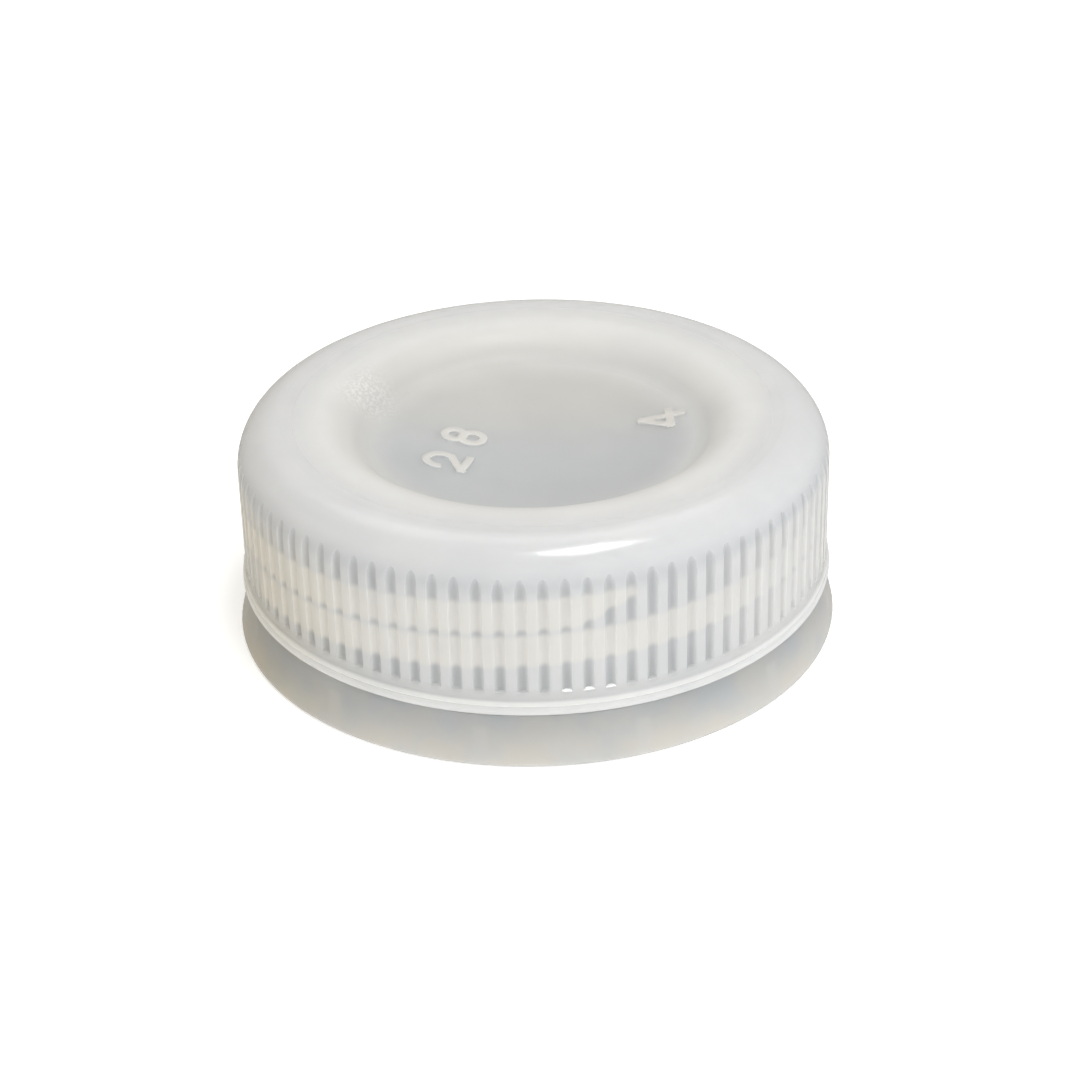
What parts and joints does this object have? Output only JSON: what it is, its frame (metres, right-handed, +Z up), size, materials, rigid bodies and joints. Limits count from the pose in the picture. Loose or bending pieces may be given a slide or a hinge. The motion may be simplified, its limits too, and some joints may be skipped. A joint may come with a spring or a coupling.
{
  "type": "screw closure with tamper-evident band",
  "caption": "Ribbed translucent screw closure with a round recess in its top, an inner multi-start thread and a loose tamper-evident band below its bead.",
  "frame": {"origin": "centre of the tamper band's lower rim, on the surface that the closure stands on", "axes": "+Z up along the thread axis, from the open end to the recessed top; -Y is the front, +X the right"},
  "size_m": [0.0518, 0.0518, 0.019],
  "materials": {
    "natural_pp": "moulded natural polypropylene, translucent, satin outside",
    "natural_pp_thin": "thin moulded natural polypropylene, more see-through",
    "seal_foam": "soft white closed-cell foam"
  },
  "bodies": {
    "band": {"tamper_band": "natural_pp_thin", "bridge_1": "natural_pp_thin", "bridge_2": "natural_pp_thin", "bridge_3": "natural_pp_thin", "bridge_4": "natural_pp_thin", "bridge_5": "natural_pp_thin", "bridge_6": "natural_pp_thin"},
    "seal": {"sealing_ring": "seal_foam"},
    "cap": {"cap_shell": "natural_pp"}
  },
  "joints": [
    {"name": "cap_lift", "type": "slide", "parent": "band", "child": "seal", "axis": [0, 0, 1], "range_m": [0, 0.0073]},
    {"name": "cap_turn", "type": "hinge", "parent": "seal", "child": "cap", "pos_m": [0, 0, 0], "axis": [0, 0, 1], "range_deg": [0, 270]}
  ],
  "couplings": [
    {"joint": "cap_lift", "follows": "cap_turn", "m_per_rad": 0.0015279}
  ]
}
